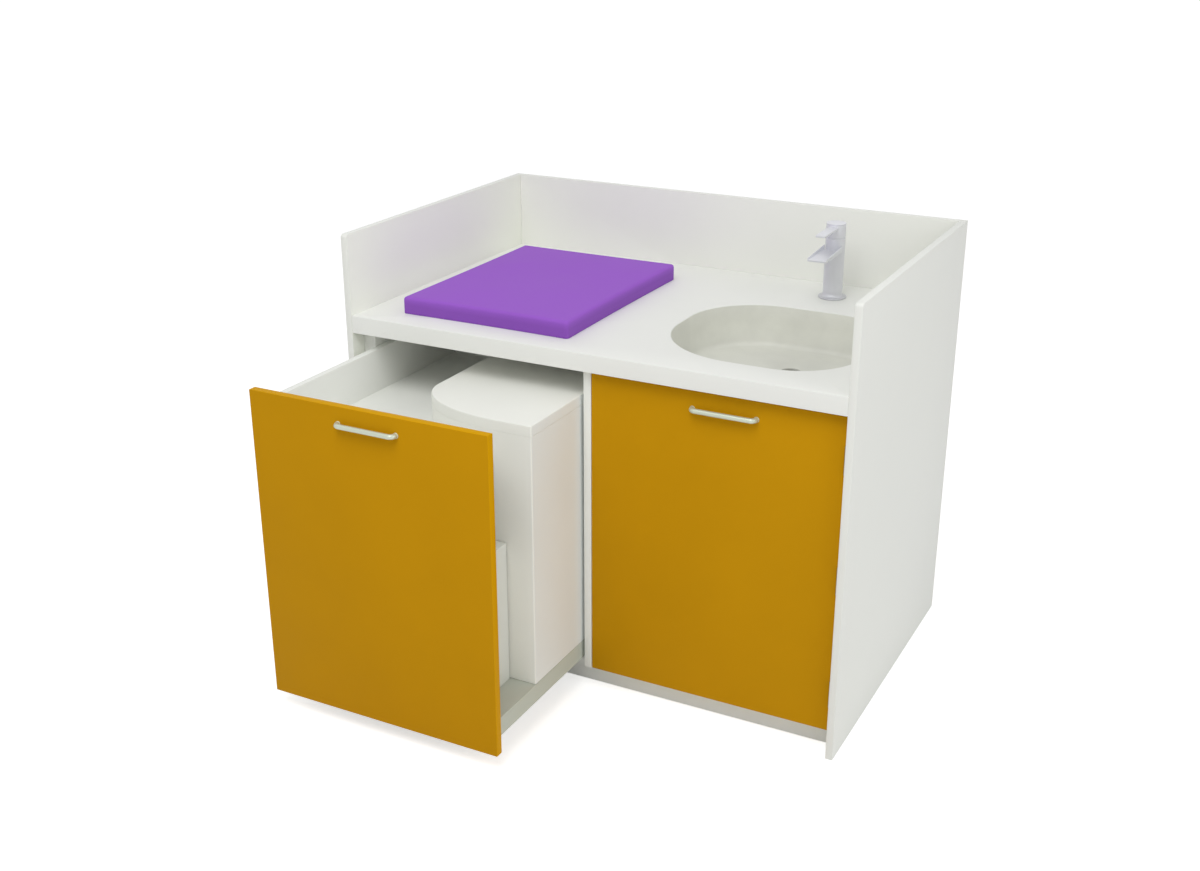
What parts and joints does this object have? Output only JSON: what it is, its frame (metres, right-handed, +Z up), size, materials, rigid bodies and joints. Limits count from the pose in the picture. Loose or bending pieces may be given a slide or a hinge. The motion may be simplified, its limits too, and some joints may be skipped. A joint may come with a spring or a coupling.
{
  "type": "changing table with basin",
  "caption": "White changing table cabinet with raised guards, basin with lever tap, purple mat, ochre hinged door and a deep ochre pull-out with bins and a tray.",
  "frame": {"origin": "centre of the object's box on the floor, with the pull-out open as in the picture", "axes": "+X to the right as seen from the front, +Y to the back, +Z up"},
  "size_m": [1.2, 1.156, 1],
  "materials": {
    "white_board": "white melamine facing, matt",
    "worktop_laminate": "white laminate, satin",
    "ochre_board": "ochre facing, satin",
    "grey_board": "warm grey facing, matt",
    "bin_plastic": "off-white, matt",
    "basin_white": "white glaze",
    "tap_metal": "satin chrome",
    "handle_metal": "satin",
    "steel": "zinc plated",
    "trap_plastic": "white",
    "dark_plastic": "black, matt",
    "copper_pipe": "bright drawn copper",
    "dowel_wood": "beech, unfinished",
    "mat_cover": "purple coated cover, satin"
  },
  "bodies": {
    "cabinet": {"left_side_panel": "white_board", "right_side_panel": "white_board", "back_panel": "white_board", "panel_dowels": "dowel_wood", "centre_partition": "white_board", "base_panel_left": "white_board", "base_panel_right": "white_board", "plinth": "white_board", "plinth_rail": "white_board", "filler_post": "white_board", "worktop_battens": "white_board", "worktop": "worktop_laminate", "basin_bowl": "basin_white", "basin_clips": "steel", "basin_clip_screws": "steel", "waste_flange": "tap_metal", "waste_nut": "tap_metal", "trap_body": "trap_plastic", "trap_cup": "trap_plastic", "trap_outlet": "trap_plastic", "tap_body": "tap_metal", "tap_cartridge": "dark_plastic", "tap_shank": "steel", "tap_nut": "steel", "tap_inlets": "copper_pipe", "runner_fixed": "steel", "runner_screws": "steel", "hinge_fixed_leaves": "steel", "hinge_pins": "steel", "hinge_fixed_screws": "steel"},
    "pullout": {"pullout_front": "ochre_board", "pullout_handle": "handle_metal", "pullout_handle_screws": "steel", "pullout_side": "white_board", "pullout_back": "white_board", "pullout_base": "grey_board", "pullout_tray": "white_board", "tall_bin": "bin_plastic", "low_bin": "bin_plastic", "runner_moving": "steel"},
    "runner_middle": {"runner_middle": "steel"},
    "tall_lid": {"tall_bin_lid": "bin_plastic"},
    "low_lid": {"low_bin_lid": "bin_plastic"},
    "door": {"door_panel": "ochre_board", "door_handle": "handle_metal", "door_handle_screws": "steel", "hinge_door_leaves": "steel", "hinge_door_screws": "steel"},
    "tap_turner": {"tap_collar": "dark_plastic"},
    "tap_lever": {"tap_handle": "tap_metal", "tap_lift_pin": "steel", "tap_cap": "tap_metal"},
    "mat": {"changing_mat": "mat_cover"}
  },
  "joints": [
    {"name": "pullout_slide", "type": "slide", "parent": "cabinet", "child": "pullout", "axis": [0, -1, 0], "range_m": [-0.382, 0.218]},
    {"name": "runner_middle_slide", "type": "slide", "parent": "cabinet", "child": "runner_middle", "axis": [0, -1, 0], "range_m": [-0.191, 0.109]},
    {"name": "tall_lid_lift", "type": "slide", "parent": "pullout", "child": "tall_lid", "axis": [0, 0, 1], "range_m": [0, 0.05]},
    {"name": "low_lid_lift", "type": "slide", "parent": "pullout", "child": "low_lid", "axis": [0, 0, 1], "range_m": [0, 0.15]},
    {"name": "door_hinge", "type": "hinge", "parent": "cabinet", "child": "door", "pos_m": [0.5811, -0.1825, 0.411], "axis": [0, 0, 1], "range_deg": [0, 105]},
    {"name": "tap_turn", "type": "hinge", "parent": "cabinet", "child": "tap_turner", "pos_m": [0.328, 0.449, 0.9574], "axis": [0, 0, 1], "range_deg": [-50, 50]},
    {"name": "tap_lift", "type": "hinge", "parent": "tap_turner", "child": "tap_lever", "pos_m": [0.328, 0.464, 0.9635], "axis": [-1, 0, 0], "range_deg": [0, 18]},
    {"name": "mat_lift", "type": "slide", "parent": "cabinet", "child": "mat", "axis": [0, 0, 1], "range_m": [0, 0.3]}
  ],
  "couplings": [
    {"joint": "runner_middle_slide", "follows": "pullout_slide", "ratio": 0.5}
  ]
}
